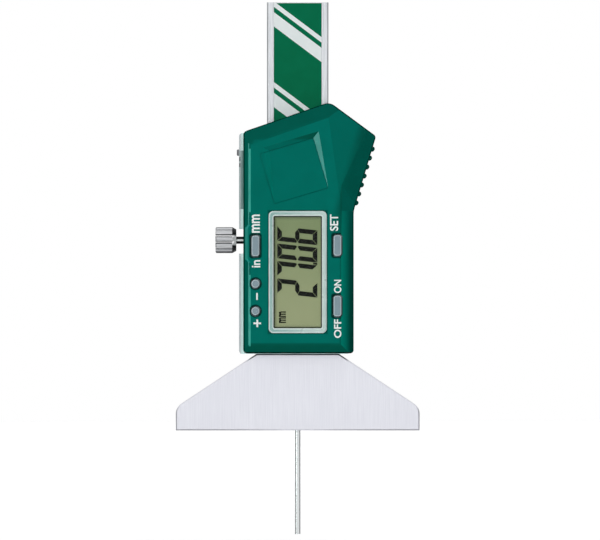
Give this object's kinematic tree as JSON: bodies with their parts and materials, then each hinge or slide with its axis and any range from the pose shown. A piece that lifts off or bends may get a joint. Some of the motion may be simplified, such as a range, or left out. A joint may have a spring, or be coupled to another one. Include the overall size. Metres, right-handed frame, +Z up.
{
  "type": "digital depth caliper",
  "caption": "Digital depth caliper: a display unit on a wide ground foot slides along a steel beam, whose thin rod measures the depth below the foot.",
  "frame": {"origin": "centre of the foot's datum face, on the depth rod's axis", "axes": "+Z up along the beam, away from the depth rod's tip; -Y towards the front, where the display faces; +X to the right seen from the front"},
  "size_m": [0.0634, 0.0155, 0.1385],
  "materials": {
    "ground_steel": "ground, with fine upright marks",
    "beam_steel": "satin ground",
    "frame_steel": "satin",
    "rod_steel": "polished hardened steel",
    "knob_metal": "satin nickel",
    "screw_steel": "machined",
    "scale_film": "printed film, satin",
    "grating_board": "circuit board",
    "green_plastic": "satin moulded",
    "button_plastic": "satin moulded",
    "bezel_metal": "satin",
    "clear_lens": "clear",
    "display_glass": "grey-green display",
    "conductive_rubber": "striped",
    "circuit_board": "solder resist",
    "chip_black": "moulded",
    "part_metal": "bright",
    "cell_steel": "bright",
    "spring_brass": "rolled",
    "gib_brass": "drawn"
  },
  "bodies": {
    "slider_unit": {"slider_frame": "frame_steel", "foot": "ground_steel", "back_plate": "frame_steel", "foot_screws": "screw_steel", "housing_screws": "screw_steel", "gib_strip": "gib_brass", "gib_screws": "screw_steel", "gib_retainer": "screw_steel", "housing": "green_plastic", "bezel": "bezel_metal", "lens": "clear_lens", "lcd_panel": "display_glass", "lcd_connectors": "conductive_rubber", "main_board": "circuit_board", "controller_chip": "chip_black", "board_parts": "part_metal", "key_switches": "part_metal", "battery": "cell_steel", "contact_minus": "spring_brass", "contact_plus": "spring_brass"},
    "beam_unit": {"beam": "beam_steel", "scale_strip": "grating_board", "scale_cover": "scale_film", "depth_rod": "rod_steel", "rod_set_screws": "screw_steel", "travel_stop": "screw_steel"},
    "units_key": {"button_units": "button_plastic"},
    "minus_key": {"button_minus": "button_plastic"},
    "plus_key": {"button_plus": "button_plastic"},
    "set_key": {"button_set": "button_plastic"},
    "power_key": {"button_power": "button_plastic"},
    "lock_knob": {"lock_screw": "knob_metal"},
    "battery_lid": {"battery_cover": "green_plastic"}
  },
  "joints": [
    {"name": "beam_slide", "type": "slide", "parent": "slider_unit", "child": "beam_unit", "axis": [0, 0, 1], "range_m": [-0.02294, 0.02706]},
    {"name": "units_press", "type": "slide", "parent": "slider_unit", "child": "units_key", "axis": [0, 1, 0], "range_m": [0, 0.00035], "stiffness_N_per_m": 1500, "springref_m": -0.0003},
    {"name": "minus_press", "type": "slide", "parent": "slider_unit", "child": "minus_key", "axis": [0, 1, 0], "range_m": [0, 0.00035], "stiffness_N_per_m": 1500, "springref_m": -0.0003},
    {"name": "plus_press", "type": "slide", "parent": "slider_unit", "child": "plus_key", "axis": [0, 1, 0], "range_m": [0, 0.00035], "stiffness_N_per_m": 1500, "springref_m": -0.0003},
    {"name": "set_press", "type": "slide", "parent": "slider_unit", "child": "set_key", "axis": [0, 1, 0], "range_m": [0, 0.00035], "stiffness_N_per_m": 1500, "springref_m": -0.0003},
    {"name": "power_press", "type": "slide", "parent": "slider_unit", "child": "power_key", "axis": [0, 1, 0], "range_m": [0, 0.00035], "stiffness_N_per_m": 1500, "springref_m": -0.0003},
    {"name": "lock_turn", "type": "hinge", "parent": "slider_unit", "child": "lock_knob", "pos_m": [-0.0187, 0, 0.0495], "axis": [-1, 0, 0], "range_deg": [0, 540]},
    {"name": "cover_lift", "type": "slide", "parent": "slider_unit", "child": "battery_lid", "axis": [0, -1, 0], "range_m": [0, 0.012]}
  ]
}
